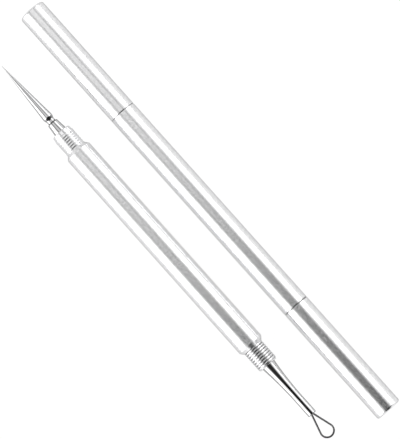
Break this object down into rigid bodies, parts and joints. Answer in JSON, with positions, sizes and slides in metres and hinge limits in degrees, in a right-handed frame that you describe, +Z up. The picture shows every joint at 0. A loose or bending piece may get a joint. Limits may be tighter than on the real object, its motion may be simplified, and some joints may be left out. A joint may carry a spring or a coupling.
{
  "type": "blackhead extractor",
  "caption": "Slim double-ended skin care pens side by side: the bare pen shows a needle and a wire loop on threaded necks, the other wears a screw cap on either end.",
  "frame": {"origin": "on the surface that the pens lie on, midway between their axes and at the middle of the capped pen", "axes": "+X along both pens from the needle end to the loop end, +Y from the bare pen to the capped pen, +Z up"},
  "size_m": [0.15, 0.0246, 0.008],
  "materials": {
    "satin_tube": "satin anodised",
    "turned_neck": "fine turned",
    "turned_plug": "fine turned",
    "polished_steel": "mirror polished",
    "steel_wire": "dark drawn wire"
  },
  "bodies": {
    "bare_pen": {"bare_handle": "satin_tube", "bare_needle_neck": "turned_neck", "bare_loop_neck": "turned_neck", "bare_needle": "polished_steel", "bare_loop_shank": "polished_steel", "bare_loop_wire": "steel_wire"},
    "capped_pen": {"capped_handle": "satin_tube", "capped_needle_neck": "turned_neck", "capped_loop_neck": "turned_neck", "capped_needle": "polished_steel", "capped_loop_shank": "polished_steel", "capped_loop_wire": "steel_wire"},
    "needle_cap_end": {"needle_cap_plug": "turned_plug"},
    "needle_cap": {"needle_cap_tube": "satin_tube"},
    "loop_cap_end": {"loop_cap_plug": "turned_plug"},
    "loop_cap": {"loop_cap_tube": "satin_tube"}
  },
  "joints": [
    {"name": "capped_pen_lift", "type": "slide", "parent": "bare_pen", "child": "capped_pen", "axis": [0, 0, 1], "range_m": [0, 0.05]},
    {"name": "needle_cap_pull", "type": "slide", "parent": "capped_pen", "child": "needle_cap_end", "axis": [-1, 0, 0], "range_m": [0, 0.045]},
    {"name": "needle_cap_turn", "type": "hinge", "parent": "needle_cap_end", "child": "needle_cap", "pos_m": [-0.0741, 0.0083, 0.004], "axis": [-1, 0, 0], "range_deg": [0, 2340]},
    {"name": "loop_cap_pull", "type": "slide", "parent": "capped_pen", "child": "loop_cap_end", "axis": [1, 0, 0], "range_m": [0, 0.045]},
    {"name": "loop_cap_turn", "type": "hinge", "parent": "loop_cap_end", "child": "loop_cap", "pos_m": [0.0741, 0.0083, 0.004], "axis": [1, 0, 0], "range_deg": [0, 2770]}
  ]
}
